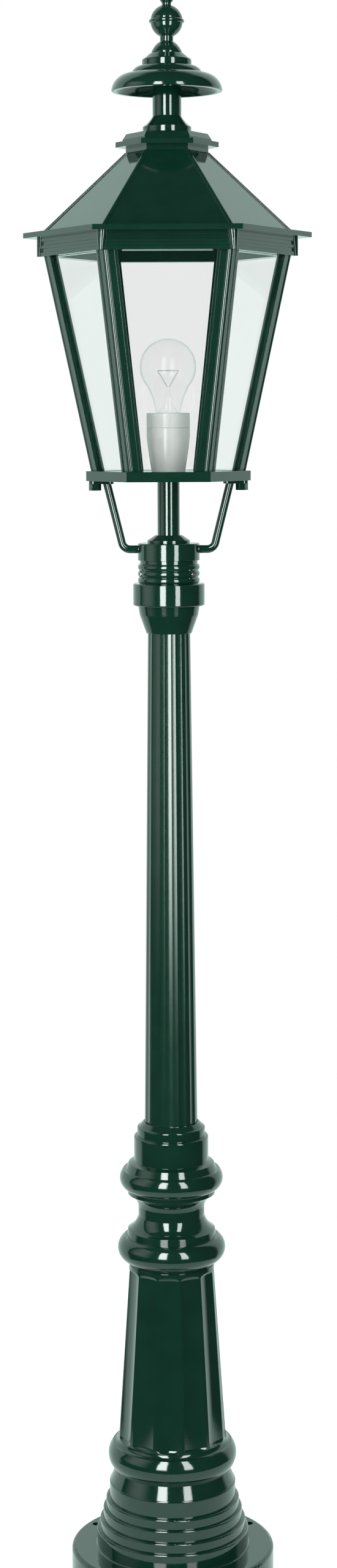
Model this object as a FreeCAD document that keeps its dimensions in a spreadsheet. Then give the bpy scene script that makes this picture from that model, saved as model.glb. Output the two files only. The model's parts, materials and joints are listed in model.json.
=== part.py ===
import FreeCAD, Part
import math
import os

import Sketcher
from FreeCAD import Placement, Rotation, Vector

# Driving dimensions of the lamp post, in millimetres and degrees
SIZES = {
    # Flange, plinth and pedestal
    "flange_radius": 113.5,
    "flange_height": 47.5,
    "flange_rounding": 4.0,
    "bolt_edge_distance": 12.5,
    "bolt_hole_radius": 4.5,
    "low_step_height": 20.5,
    "next_step_height": 11.5,
    "mid_step_height": 13.0,
    "top_step_height": 11.5,
    "low_step_out": 3.5,
    "next_step_out": 3.6,
    "mid_step_out": 3.3,
    "top_step_out": 4.0,
    "step_rounding": 2.0,
    "drum_radius": 70.6,
    "drum_height": 19.5,
    "cove_height": 14.5,
    "cove_depth": 6.9,
    "bead_height": 30.0,
    "bead_bulge": 6.6,
    "bead_fillet": 5.6,
    "pedestal_bottom_radius": 60.9,
    "pedestal_top_radius": 47.1,
    "pedestal_height": 206.0,
    "pedestal_wall": 9.0,
    "core_foot_radius": 76.0,
    "band_height": 3.0,
    "band_inset": 0.8,
    "pedestal_flute_radius": 48.0,
    "pedestal_flute_depth_low": 4.0,
    "pedestal_flute_depth_high": 2.75,
    "pedestal_flute_margin": 8.0,
    "pedestal_flute_top_margin": 1.0,
    "pedestal_flute_rounding": 4.5,
    "flute_turn": 26.0,
    # Collar between pedestal and shaft
    "spigot_length": 12.0,
    "collar_foot_inset": 0.6,
    "low_ring_height": 29.0,
    "low_ring_bulge": 10.7,
    "low_lip_radius": 49.4,
    "low_lip_height": 7.5,
    "flare_inset": 1.2,
    "ring_step": 2.6,
    "low_flare_height": 15.5,
    "waist_height": 11.0,
    "waist_wall": 6.4,
    "high_flare_height": 14.5,
    "flare_hollow": 2.0,
    "high_lip_radius": 48.2,
    "high_lip_height": 4.2,
    "high_ring_height": 23.1,
    "high_ring_bulge": 6.2,
    "shoulder_height": 7.2,
    "shoulder_taper": 3.4,
    "shoulder_slope_height": 2.2,
    "shoulder_radius": 50.4,
    "sleeve_height": 28.6,
    "sleeve_lip_height": 10.5,
    "mouth_flare": 6.4,
    "mouth_lip_height": 4.7,
    "mouth_wall": 1.6,
    "sleeve_out": 3.6,
    # Tapered fluted shaft
    "shaft_length": 679.0,
    "shaft_bottom_radius": 29.8,
    "shaft_top_radius": 22.0,
    "shaft_wall": 5.0,
    "shaft_seat_height": 93.0,
    "shaft_flute_radius": 20.0,
    "shaft_flute_depth_low": 0.9,
    "shaft_flute_depth_high": 0.6,
    "shaft_flute_rounding": 2.0,
    # Neck socket
    "neck_cone_height": 19.5,
    "neck_foot_wall": 1.4,
    "neck_cone_flare": 8.6,
    "neck_step_height": 10.2,
    "neck_step_taper": 1.6,
    "neck_ring_height": 23.7,
    "neck_ring_out": 5.3,
    "neck_ring_rounding": 1.6,
    "neck_bead_height": 7.0,
    "neck_bead_bulge": 1.7,
    "neck_bead_inset": 1.6,
    "neck_groove_height": 4.0,
    "neck_groove_inset": 2.2,
    "neck_head_height": 18.1,
    "socket_depth": 74.0,
    "socket_floor": 5.0,
    "wire_hole_radius": 7.5,
    "grub_radius": 2.9,
    "grub_proud": 1.0,
    "grub_key_radius": 1.6,
    "grub_key_depth": 1.8,
    "grub_turn": 113.0,
    # Stem, fork and its fasteners
    "stem_radius": 11.9,
    "stem_wall": 2.5,
    "stem_collar_height": 8.5,
    "stem_collar_out": 11.0,
    "stem_collar_rim": 3.0,
    "lock_nut_height": 5.0,
    "lock_nut_out": 3.6,
    "fork_height": 66.5,
    "arm_radius": 4.3,
    "arm_drop": 6.6,
    "arm_bore_depth": 8.0,
    "arm_bend_reach": 48.4,
    "arm_bend_radius": 9.0,
    "foot_thickness": 3.2,
    "foot_width": 15.0,
    "foot_inset": 3.0,
    "foot_rounding": 5.0,
    "foot_bolt_edge": 6.5,
    "foot_heel_reach": 19.0,
    "bolt_radius": 3.9,
    "bolt_head_radius": 6.6,
    "bolt_head_height": 7.0,
    "bolt_grip": 7.0,
    # Lantern floor, bars and panes
    "floor_radius": 88.0,
    "floor_thickness": 10.5,
    "frame_height": 225.5,
    "floor_lip": 5.6,
    "frame_top_inset": 6.1,
    "bar_wing_width": 14.0,
    "bar_wing_thickness": 2.4,
    "bar_lip_width": 3.2,
    "bar_lip_height": 1.1,
    "bar_bead_width": 4.0,
    "bar_bead_bulge": 2.4,
    "bar_web": 3.0,
    "bar_web_depth": 16.0,
    "pane_thickness": 3.0,
    # Eave ring, roof and crown
    "eave_radius": 136.3,
    "eave_width": 22.3,
    "eave_height": 19.2,
    "eave_lip_height": 4.0,
    "eave_ridge_height": 3.0,
    "eave_groove_depth": 1.4,
    "corbel_top_width": 11.0,
    "corbel_bottom_width": 6.0,
    "corbel_out": 1.8,
    "corbel_depth": 9.0,
    "eave_plate_overhang": 16.3,
    "eave_plate_thickness": 5.4,
    "roof_inset": 4.7,
    "roof_top_radius": 42.6,
    "roof_height": 82.4,
    "roof_wall": 3.8,
    "hip_bead_width": 5.0,
    "hip_bead_bulge": 2.0,
    "crown_foot_out": 0.8,
    "crown_foot_height": 5.7,
    "crown_plate_out": 11.7,
    "crown_plate_thickness": 5.4,
    "crown_step_out": 4.2,
    "crown_step_height": 2.6,
    "crown_slope_height": 5.8,
    "crown_slope_inset": 4.0,
    # Chimney, cap and finial
    "chimney_foot_radius": 25.6,
    "chimney_foot_height": 7.0,
    "chimney_bell_height": 11.2,
    "chimney_bell_hollow": 0.9,
    "chimney_radius": 15.1,
    "chimney_tube_height": 38.4,
    "chimney_wall": 4.0,
    "cap_radius": 58.4,
    "cap_rim_height": 1.2,
    "cap_hollow_depth": 13.0,
    "cap_wall": 5.0,
    "cap_dome_height": 16.8,
    "cap_dome_inset": 16.4,
    "cap_dome_bulge": 4.0,
    "cap_shelf_height": 0.6,
    "cap_shelf_radius": 37.2,
    "cap_lip_height": 7.5,
    "cap_lip_bulge": 1.8,
    "cap_ring_radius": 26.0,
    "cap_ring_height": 7.4,
    "cap_ring_slope": 5.1,
    "finial_foot_radius": 16.0,
    "finial_foot_height": 1.6,
    "finial_bell_height": 11.0,
    "finial_bell_bulge": 1.3,
    "finial_neck_radius": 6.9,
    "finial_neck_height": 5.2,
    "finial_ball_radius": 16.9,
    "finial_bead_height": 4.0,
    "finial_bead_bulge": 1.7,
    "finial_tip_neck_radius": 4.8,
    "finial_tip_neck_height": 2.4,
    "finial_tip_radius": 7.6,
    "rod_radius": 3.9,
    "rod_thread_reach": 12.0,
    "rod_tail": 10.0,
    "rod_nut_radius": 7.5,
    "rod_nut_height": 6.5,
    # Lamp holder and bulb
    "holder_foot_radius": 17.9,
    "holder_radius": 22.9,
    "holder_height": 45.5,
    "holder_taper_height": 36.0,
    "holder_foot_hollow": 9.0,
    "holder_cup_floor": 35.0,
    "holder_wire_radius": 4.0,
    "holder_ring_height": 16.0,
    "holder_ring_rounding": 1.2,
    "bulb_cap_radius": 13.1,
    "bulb_cap_height": 26.5,
    "bulb_contact_radius": 5.0,
    "bulb_contact_height": 2.0,
    "bulb_insulator_height": 4.0,
    "bulb_radius": 30.0,
    "bulb_height": 78.5,
    "bulb_neck_height": 30.0,
    "bulb_neck_hollow": 1.6,
    "bulb_wall": 1.0,
    "bulb_stem_radius": 4.6,
    "bulb_stem_height": 27.0,
    "filament_radius": 0.6,
    "filament_span": 22.0,
    "filament_height": 17.0,
    # Clearances
    "slip_fit": 0.3,
    "pane_fit": 0.3,
}

FLUTES = 12
SIDES = 6
BASE_BOLTS = 3
GRUB_SCREWS = 3
NECK_BEADS = 3
CORBEL_NOSE = 0.8
COS30 = math.cos(math.radians(30))
QUARTER = 1 - math.cos(math.radians(45))

doc = FreeCAD.newDocument("garden_lamp_post")
sheet = doc.addObject("Spreadsheet::Sheet", "Sizes")
for row, (alias, number) in enumerate(SIZES.items(), start=1):
    sheet.set(f"A{row}", alias)
    sheet.set(f"B{row}", str(number))
    sheet.setAlias(f"B{row}", alias)
doc.recompute()


class Size:
    """A size worked out from the sheet: the expression that binds it, and its value."""

    def __init__(self, text, value):
        self.text = text
        self.value = value

    def __add__(self, other):
        other = size(other)
        return Size(f"({self.text} + {other.text})", self.value + other.value)

    def __sub__(self, other):
        other = size(other)
        return Size(f"({self.text} - {other.text})", self.value - other.value)

    def __mul__(self, other):
        other = size(other)
        return Size(f"({self.text} * {other.text})", self.value * other.value)

    def __truediv__(self, other):
        other = size(other)
        return Size(f"({self.text} / {other.text})", self.value / other.value)

    def __neg__(self):
        return Size(f"(0 - {self.text})", -self.value)

    def root(self):
        return Size(f"sqrt({self.text})", math.sqrt(self.value))


def size(source):
    """A sheet cell by its alias, or a plain number, as a Size."""
    if isinstance(source, Size):
        return source
    if isinstance(source, str):
        return Size(f"Sizes.{source}", float(sheet.get(source)))
    return Size(f"({float(source)!r})", float(source))


def total(*sources):
    """The sum of several sizes."""
    result = size(sources[0])
    for source in sources[1:]:
        result = result + source
    return result


def cosine(angle):
    """Cosine of an angle in degrees."""
    return Size(f"cos({angle.text} * 1 deg)", math.cos(math.radians(angle.value)))


def sine(angle):
    """Sine of an angle in degrees."""
    return Size(f"sin({angle.text} * 1 deg)", math.sin(math.radians(angle.value)))


ZERO = size(0)


# Bodies and sketches
def new_body(label, level=None, turn=0.0):
    """A body that stands at a level above the floor, turned about the post's axis."""
    body = doc.addObject("PartDesign::Body", label)
    body.Label = label
    body.Placement = Placement(Vector(0, 0, 0), Rotation(Vector(0, 0, 1), turn))
    if level is not None:
        body.setExpression("Placement.Base.z", level.text)
    return body


def origin_feature(body, role):
    """One of the body's own origin planes or axes."""
    for feature in body.Origin.OriginFeatures:
        if feature.Role == role:
            return feature
    raise ValueError(role)


def new_sketch(body, name, role, offset=None, turn=None):
    """A sketch on an origin plane, moved along the plane's normal or turned about the post's axis."""
    sketch = body.newObject("Sketcher::SketchObject", f"{body.Name}_{name}")
    sketch.AttachmentSupport = [(origin_feature(body, role), "")]
    sketch.MapMode = "FlatFace"
    if turn is not None:
        turn = size(turn)
        sketch.AttachmentOffset = Placement(Vector(0, 0, 0), Rotation(Vector(0, 1, 0), turn.value))
        sketch.setExpression("AttachmentOffset.Rotation.Angle", turn.text)
    if offset is not None:
        sketch.setExpression("AttachmentOffset.Base.z", size(offset).text)
    return sketch


def pin_point(sketch, geometry, end, x, y):
    """Bind a sketch point's two coordinates to the sheet."""
    for kind, axis, coordinate in (("DistanceX", -2, x), ("DistanceY", -1, y)):
        if coordinate.value == 0:
            sketch.addConstraint(Sketcher.Constraint("PointOnObject", geometry, end, axis))
            continue
        if coordinate.value > 0:
            link = Sketcher.Constraint(kind, -1, 1, geometry, end, coordinate.value)
            text = coordinate.text
        else:
            link = Sketcher.Constraint(kind, geometry, end, -1, 1, -coordinate.value)
            text = (-coordinate).text
        index = sketch.addConstraint(link)
        sketch.setExpression(f"Constraints[{index}]", text)


def bind_radius(sketch, geometry, radius):
    """Bind a circle's or an arc's radius to the sheet."""
    index = sketch.addConstraint(Sketcher.Constraint("Radius", geometry, radius.value))
    sketch.setExpression(f"Constraints[{index}]", radius.text)


def arc_radius(start, end, bulge):
    """Radius of the arc that rises by bulge above the chord from start to end."""
    run = end[0] - start[0]
    rise = end[1] - start[1]
    return (run * run + rise * rise) / (bulge * 8) + bulge / 2


def arc_bulge(start, end, radius):
    """Rise of an arc of this radius above the chord from start to end."""
    run = end[0] - start[0]
    rise = end[1] - start[1]
    return radius - (radius * radius - (run * run + rise * rise) / 4).root()


def corner(radius):
    """Bulge of a quarter-round edge of this radius."""
    return size(radius) * QUARTER


def draw(sketch, outline):
    """Draw a closed outline, anticlockwise, from (x, y) or (x, y, bulge) corners.

    The side that leads to a corner with a bulge is an arc: outward if positive, hollow if negative.
    """
    points = [tuple(size(entry) for entry in point) for point in outline]
    firsts = []
    lasts = []
    for index, start in enumerate(points):
        end = points[(index + 1) % len(points)]
        tail = Vector(start[0].value, start[1].value, 0)
        head = Vector(end[0].value, end[1].value, 0)
        if len(end) == 2:
            geometry = sketch.addGeometry(Part.LineSegment(tail, head), False)
            firsts.append((geometry, 1))
            lasts.append((geometry, 2))
            continue
        outward = end[2].value > 0
        bulge = end[2] if outward else -end[2]
        radius = arc_radius(start, end, bulge)
        chord = head - tail
        side = Vector(chord.y, -chord.x, 0).normalize()
        lean = bulge.value - radius.value
        middle = (tail + head) * 0.5
        centre = middle + side * (lean if outward else -lean)
        near, far = (tail, head) if outward else (head, tail)
        from_angle = math.atan2(near.y - centre.y, near.x - centre.x)
        to_angle = math.atan2(far.y - centre.y, far.x - centre.x)
        if to_angle <= from_angle:
            to_angle += 2 * math.pi
        circle = Part.Circle(centre, Vector(0, 0, 1), radius.value)
        geometry = sketch.addGeometry(Part.ArcOfCircle(circle, from_angle, to_angle), False)
        firsts.append((geometry, 1 if outward else 2))
        lasts.append((geometry, 2 if outward else 1))
        bind_radius(sketch, geometry, radius)
    for index, point in enumerate(points):
        pin_point(sketch, *firsts[index], point[0], point[1])
        sketch.addConstraint(Sketcher.Constraint("Coincident", *lasts[index - 1], *firsts[index]))


def draw_circle(sketch, x, y, radius):
    """Draw a circle with its centre and radius bound to the sheet."""
    x, y, radius = size(x), size(y), size(radius)
    circle = Part.Circle(Vector(x.value, y.value, 0), Vector(0, 0, 1), radius.value)
    geometry = sketch.addGeometry(circle, False)
    pin_point(sketch, geometry, 3, x, y)
    bind_radius(sketch, geometry, radius)


def hexagon(radius):
    """Corners of a hexagon with one corner on the sketch's X axis."""
    radius = size(radius)
    half = radius / 2
    flat = radius * COS30
    return [(radius, ZERO), (half, flat), (-half, flat), (-radius, ZERO), (-half, -flat), (half, -flat)]


# Features
def revolve(body, name, outline):
    """Turn an outline of (radius, height) corners about the post's axis."""
    sketch = new_sketch(body, f"{name}_outline", "XZ_Plane")
    draw(sketch, outline)
    feature = body.newObject("PartDesign::Revolution", f"{body.Name}_{name}")
    feature.Profile = sketch
    feature.ReferenceAxis = (sketch, ["V_Axis"])
    feature.Angle = 360
    return feature


def pad(body, name, outline, height, offset=None):
    """Raise an outline straight up from a level of the body."""
    sketch = new_sketch(body, f"{name}_outline", "XY_Plane", offset)
    draw(sketch, outline)
    feature = body.newObject("PartDesign::Pad", f"{body.Name}_{name}")
    feature.Profile = sketch
    feature.setExpression("Length", size(height).text)
    return feature


def loft(body, name, kind, sections):
    """Join flat outlines at several heights with straight sides."""
    sketches = []
    for number, (outline, height) in enumerate(sections, start=1):
        sketch = new_sketch(body, f"{name}_section_{number}", "XY_Plane", size(height))
        draw(sketch, outline)
        sketches.append(sketch)
    feature = body.newObject(f"PartDesign::{kind}", f"{body.Name}_{name}")
    feature.Profile = sketches[0]
    feature.Sections = sketches[1:]
    feature.Ruled = True
    return feature


def pocket(body, name, sketch, depth, reverse=False):
    """Cut a sketch into the body to a depth, and make sure that it meets the solid."""
    doc.recompute()
    before = body.Shape.Volume
    feature = body.newObject("PartDesign::Pocket", f"{body.Name}_{name}")
    feature.Profile = sketch
    feature.setExpression("Length", size(depth).text)
    feature.Reversed = reverse
    doc.recompute()
    if body.Shape.Volume >= before:
        raise RuntimeError(f"{feature.Name} cuts nothing")
    return feature


def round_hole(body, name, centre, radius, depth, offset=None):
    """Cut an upright hole upwards from a level of the body."""
    sketch = new_sketch(body, f"{name}_circle", "XY_Plane", offset)
    draw_circle(sketch, centre[0], centre[1], radius)
    return pocket(body, name, sketch, depth, reverse=True)


def repeat(body, feature, count):
    """Repeat a feature evenly about the post's axis."""
    pattern = body.newObject("PartDesign::PolarPattern", f"{feature.Name}_pattern")
    pattern.Originals = [feature]
    pattern.Axis = (origin_feature(body, "Z_Axis"), [""])
    pattern.Angle = 360
    pattern.Occurrences = count
    body.Tip = pattern
    return pattern


def flute(body, name, low, high, radius, rounding):
    """Cut flutes all round with a round cutter, its rims rounded, whose axis runs from low to high."""
    low = tuple(size(value) for value in low)
    high = tuple(size(value) for value in high)
    radius = size(radius)
    rounding = size(rounding)
    run = high[0] - low[0]
    rise = high[1] - low[1]
    length = (run * run + rise * rise).root()
    along = (run / length, rise / length)
    inward = (-along[1], along[0])

    def cutter_point(end, forward, reach):
        return tuple(end[axis] + along[axis] * forward + inward[axis] * reach for axis in range(2))

    rim = (corner(rounding),)
    sketch = new_sketch(body, f"{name}_cutter", "XZ_Plane", turn="flute_turn")
    outline = [
        low,
        high,
        cutter_point(high, ZERO, radius - rounding),
        cutter_point(high, -rounding, radius) + rim,
        cutter_point(low, rounding, radius),
        cutter_point(low, ZERO, radius - rounding) + rim,
    ]
    draw(sketch, outline)
    ends = [Vector(end[0].value, end[1].value, 0) for end in (low, high)]
    line = sketch.addGeometry(Part.LineSegment(*ends), True)
    pin_point(sketch, line, 1, *low)
    pin_point(sketch, line, 2, *high)
    feature = body.newObject("PartDesign::Groove", f"{body.Name}_{name}")
    feature.Profile = sketch
    feature.ReferenceAxis = (sketch, ["Axis0"])
    feature.Angle = 360
    return repeat(body, feature, FLUTES)


def rounded_rectangle(near, far, half, radius):
    """Corners of a rectangle from near to far along X, with quarter-round corners."""
    edge = corner(radius)
    return [
        (near + radius, -half, edge),
        (far - radius, -half),
        (far, radius - half, edge),
        (far, half - radius),
        (far - radius, half, edge),
        (near + radius, half),
        (near, half - radius, edge),
        (near, radius - half),
    ]


def hex_prism(label, radius, height):
    """An upright hexagonal prism, such as a bolt's head."""
    prism = doc.addObject("Part::Prism", label)
    prism.Polygon = SIDES
    prism.setExpression("Circumradius", size(radius).text)
    prism.setExpression("Height", size(height).text)
    return prism


def cylinder(label, radius, height):
    """An upright cylinder."""
    rod = doc.addObject("Part::Cylinder", label)
    rod.setExpression("Radius", size(radius).text)
    rod.setExpression("Height", size(height).text)
    return rod


def place(feature, x=None, z=None):
    """Bind a primitive's place along X and Z to the sheet."""
    if x is not None:
        feature.setExpression("Placement.Base.x", size(x).text)
    if z is not None:
        feature.setExpression("Placement.Base.z", size(z).text)
    return feature


def group(label, members):
    """Like fasteners that share one node."""
    compound = doc.addObject("Part::Compound", label)
    compound.Label = label
    compound.Links = members
    return compound


# Levels of the pieces above the ground
step_heights = total("low_step_height", "next_step_height", "mid_step_height", "top_step_height")
drum_level = total("flange_height", step_heights)
bead_level = total(drum_level, "drum_height", "cove_height")
pedestal_level = bead_level + "bead_height"
band_level = pedestal_level + "pedestal_height"
collar_seat_level = band_level + "band_height"
shaft_level = collar_seat_level + "shaft_seat_height"
neck_level = total(shaft_level, "shaft_length") - "socket_depth"
neck_ring_top = total("neck_cone_height", "neck_step_height", "neck_ring_height")
neck_beads_height = size("neck_bead_height") * NECK_BEADS
neck_height = total(neck_ring_top, neck_beads_height, "neck_groove_height", "neck_head_height")
grub_level = neck_ring_top + neck_beads_height / 2
neck_top_level = neck_level + neck_height
floor_level = neck_top_level + "fork_height"
frame_level = floor_level + "floor_thickness"
eave_level = frame_level + "frame_height"
roof_level = eave_level + "eave_height"
crown_level = total(roof_level, "eave_plate_thickness", "roof_height")
crown_height = total("crown_foot_height", "crown_plate_thickness", "crown_step_height", "crown_slope_height")
chimney_level = crown_level + crown_height
chimney_height = total("chimney_foot_height", "chimney_bell_height", "chimney_tube_height")
cap_level = chimney_level + chimney_height - "cap_hollow_depth"
cap_height = total(
    "cap_rim_height", "cap_dome_height", "cap_shelf_height",
    "cap_lip_height", "cap_ring_height", "cap_ring_slope",
)
finial_level = cap_level + cap_height

# Radii that several pieces share
shaft_taper = (size("shaft_bottom_radius") - "shaft_top_radius") / "shaft_length"


def shaft_radius_at(height):
    """Outer radius of the shaft at a height above its foot."""
    return size("shaft_bottom_radius") - shaft_taper * height


cavity_low_radius = size("pedestal_bottom_radius") - "pedestal_wall"
cavity_high_radius = size("pedestal_top_radius") - "pedestal_wall"
band_radius = size("pedestal_top_radius") - "band_inset"
groove_radius = size("drum_radius") - "cove_depth"
collar_height = total(
    "low_ring_height", "low_lip_height", "low_flare_height", "waist_height", "high_flare_height",
    "high_lip_height", "high_ring_height", "shoulder_height", "shoulder_slope_height",
    "sleeve_height", "sleeve_lip_height", "mouth_lip_height",
)
mouth_bore_radius = shaft_radius_at(collar_height - "shaft_seat_height") + "slip_fit"
neck_bore_low = shaft_radius_at(size("shaft_length") - "socket_depth") + "slip_fit"
neck_bore_high = size("shaft_top_radius") + "slip_fit"
neck_foot_radius = neck_bore_low + "neck_foot_wall"
neck_radius = neck_foot_radius + "neck_cone_flare"
rod_hole_radius = size("rod_radius") + "slip_fit"
stem_seat = total("socket_depth", "socket_floor")
arm_level = neck_top_level - "arm_drop"
foot_end = size("floor_radius") - "foot_inset"
foot_bolt_reach = foot_end - "foot_bolt_edge"
frame_foot_radius = size("floor_radius") - "floor_lip"
frame_top_radius = size("eave_radius") - "frame_top_inset"
roof_radius = size("eave_radius") - "roof_inset"


# Foot casting: flange, stepped plinth, bead and fluted pedestal over a hollow for the wiring
def build_base():
    body = new_body("base_casting")
    round_edge = corner("flange_rounding")
    step_edge = corner("step_rounding")
    rounding = size("step_rounding")
    top_step = size("drum_radius") + "top_step_out"
    mid_step = top_step + "mid_step_out"
    next_step = mid_step + "next_step_out"
    low_step = next_step + "low_step_out"
    flange_top = size("flange_height")
    low_top = flange_top + "low_step_height"
    next_top = low_top + "next_step_height"
    mid_top = next_top + "mid_step_height"
    drum_top = drum_level + "drum_height"
    fillet = size("bead_fillet")
    foot_slope = (size("pedestal_bottom_radius") - "pedestal_top_radius") / "pedestal_height"
    fillet_radius = size("pedestal_bottom_radius") - foot_slope * fillet
    outline = [
        ("core_foot_radius", ZERO),
        ("flange_radius", ZERO),
        ("flange_radius", flange_top - "flange_rounding"),
        (size("flange_radius") - "flange_rounding", flange_top, round_edge),
        (low_step + rounding, flange_top),
        (low_step, flange_top + rounding, -step_edge),
        (low_step, low_top - rounding),
        (low_step - rounding, low_top, step_edge),
        (next_step, low_top),
        (next_step, next_top - rounding),
        (next_step - rounding, next_top, step_edge),
        (mid_step, next_top),
        (mid_step, mid_top - rounding),
        (mid_step - rounding, mid_top, step_edge),
        (top_step, mid_top),
        (top_step, drum_level - rounding),
        (top_step - rounding, drum_level, step_edge),
        ("drum_radius", drum_level),
        ("drum_radius", drum_top - rounding),
        (size("drum_radius") - rounding / 2, drum_top, step_edge / 2),
        (groove_radius, bead_level),
        (size("pedestal_bottom_radius") + fillet, pedestal_level, "bead_bulge"),
        (fillet_radius, pedestal_level + fillet, -corner(fillet)),
        ("pedestal_top_radius", band_level),
        (band_radius, band_level),
        (band_radius, collar_seat_level),
        (cavity_high_radius, collar_seat_level),
        (cavity_high_radius, band_level),
        (cavity_low_radius, pedestal_level),
    ]
    revolve(body, "turning", outline)
    bolt_reach = size("flange_radius") - "bolt_edge_distance"
    hole = round_hole(body, "bolt_hole", (ZERO, -bolt_reach), "bolt_hole_radius", "flange_height")
    repeat(body, hole, BASE_BOLTS)
    cutter = size("pedestal_flute_radius")
    low_end = (
        size("pedestal_bottom_radius") + cutter - "pedestal_flute_depth_low",
        pedestal_level + "pedestal_flute_margin",
    )
    high_end = (
        size("pedestal_top_radius") + cutter - "pedestal_flute_depth_high",
        band_level - "pedestal_flute_top_margin",
    )
    flute(body, "flute", low_end, high_end, cutter, "pedestal_flute_rounding")
    return body


# Collar casting: two rings and a sleeve, with a spigot down into the pedestal
def build_collar():
    body = new_body("collar_casting", collar_seat_level - "spigot_length")
    seat = size("spigot_length")
    heights = [
        "low_ring_height", "low_lip_height", "low_flare_height", "waist_height", "high_flare_height",
        "high_lip_height", "high_ring_height", "shoulder_height", "shoulder_slope_height",
        "sleeve_height", "sleeve_lip_height", "mouth_lip_height",
    ]
    levels = [seat]
    for height in heights:
        levels.append(levels[-1] + height)
    spigot_radius = cavity_high_radius - "slip_fit"
    shaft_seat = seat + "shaft_seat_height"
    seat_bore = size("shaft_bottom_radius") + "slip_fit"
    wire_radius = size("shaft_bottom_radius") - "shaft_wall"
    waist_radius = seat_bore + "waist_wall"
    mouth_radius = mouth_bore_radius + "mouth_wall"
    lip_radius = mouth_radius + "mouth_flare"
    sleeve_radius = lip_radius + "sleeve_out"
    low_flare = size("low_lip_radius") - "flare_inset"
    high_flare = size("high_lip_radius") - "flare_inset"
    shoulder_top = size("shoulder_radius") - "shoulder_taper"
    rounding = size("step_rounding")
    edge = corner(rounding)
    hollow = -size("flare_hollow")
    outline = [
        (wire_radius, ZERO),
        (spigot_radius, ZERO),
        (spigot_radius, seat),
        (band_radius - "collar_foot_inset", seat),
        (size("low_lip_radius") + "ring_step", levels[1], "low_ring_bulge"),
        ("low_lip_radius", levels[1]),
        (low_flare, levels[2]),
        (waist_radius, levels[3], hollow),
        (waist_radius, levels[4]),
        (high_flare, levels[5], hollow),
        ("high_lip_radius", levels[5]),
        ("high_lip_radius", levels[6]),
        (size("shoulder_radius") + "ring_step", levels[7], "high_ring_bulge"),
        ("shoulder_radius", levels[7]),
        (shoulder_top, levels[8]),
        (sleeve_radius, levels[9]),
        (sleeve_radius, levels[10] - rounding),
        (sleeve_radius - rounding, levels[10], edge),
        (lip_radius, levels[10]),
        (lip_radius, levels[11] - rounding),
        (lip_radius - rounding, levels[11], edge),
        (mouth_radius, levels[12]),
        (mouth_bore_radius, levels[12]),
        (seat_bore, shaft_seat),
        (wire_radius, shaft_seat),
    ]
    revolve(body, "turning", outline)
    return body


# Shaft: a tapered tube with shallow flutes over its whole length
def build_shaft():
    body = new_body("shaft", shaft_level)
    outline = [
        (size("shaft_bottom_radius") - "shaft_wall", ZERO),
        ("shaft_bottom_radius", ZERO),
        ("shaft_top_radius", "shaft_length"),
        (size("shaft_top_radius") - "shaft_wall", "shaft_length"),
    ]
    revolve(body, "tube", outline)
    cutter = size("shaft_flute_radius")
    past_end = size("shaft_flute_rounding")
    low_end = (size("shaft_bottom_radius") + cutter - "shaft_flute_depth_low", -past_end)
    high_end = (size("shaft_top_radius") + cutter - "shaft_flute_depth_high", past_end + "shaft_length")
    flute(body, "flute", low_end, high_end, cutter, "shaft_flute_rounding")
    return body


# Neck socket: cone, wide ring, three beads and a head that holds the stem and the fork
def build_neck():
    body = new_body("neck_socket", neck_level)
    rounding = size("neck_ring_rounding")
    edge = corner(rounding)
    ring_radius = neck_radius + "neck_ring_out"
    bead_radius = neck_radius - "neck_bead_inset"
    groove_base = neck_radius - "neck_groove_inset"
    step_top = total("neck_cone_height", "neck_step_height")
    beads = [
        (bead_radius, neck_ring_top + size("neck_bead_height") * (number + 1), "neck_bead_bulge")
        for number in range(NECK_BEADS)
    ]
    beads_top = neck_ring_top + neck_beads_height
    groove_top = beads_top + "neck_groove_height"
    stem_bore = size("stem_radius") + "slip_fit"
    outline = [
        (neck_bore_low, ZERO),
        (neck_foot_radius, ZERO),
        (neck_radius - "neck_step_taper", "neck_cone_height"),
        (neck_radius, step_top),
        (ring_radius - rounding, step_top),
        (ring_radius, step_top + rounding, edge),
        (ring_radius, neck_ring_top - rounding),
        (ring_radius - rounding, neck_ring_top, edge),
        (bead_radius, neck_ring_top),
        *beads,
        (groove_base, beads_top),
        (groove_base, groove_top),
        (neck_radius, groove_top),
        (neck_radius, neck_height - rounding),
        (neck_radius - rounding, neck_height, edge),
        (stem_bore, neck_height),
        (stem_bore, stem_seat),
        ("wire_hole_radius", stem_seat),
        ("wire_hole_radius", "socket_depth"),
        (neck_bore_high, "socket_depth"),
    ]
    revolve(body, "turning", outline)
    bore_start = neck_radius - "arm_bore_depth"
    for side, start, outward in (("right", bore_start, True), ("left", -bore_start, False)):
        bore = new_sketch(body, f"arm_bore_{side}_circle", "YZ_Plane", start)
        draw_circle(bore, ZERO, neck_height - "arm_drop", size("arm_radius") + "slip_fit")
        pocket(body, f"arm_bore_{side}", bore, total("arm_bore_depth", "arm_radius"), reverse=outward)
    thread = new_sketch(body, "grub_hole_circle", "XZ_Plane", turn="grub_turn")
    draw_circle(thread, ZERO, grub_level, size("grub_radius") + "slip_fit")
    grub_hole = pocket(body, "grub_hole", thread, ring_radius)
    repeat(body, grub_hole, GRUB_SCREWS)
    return body


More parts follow.
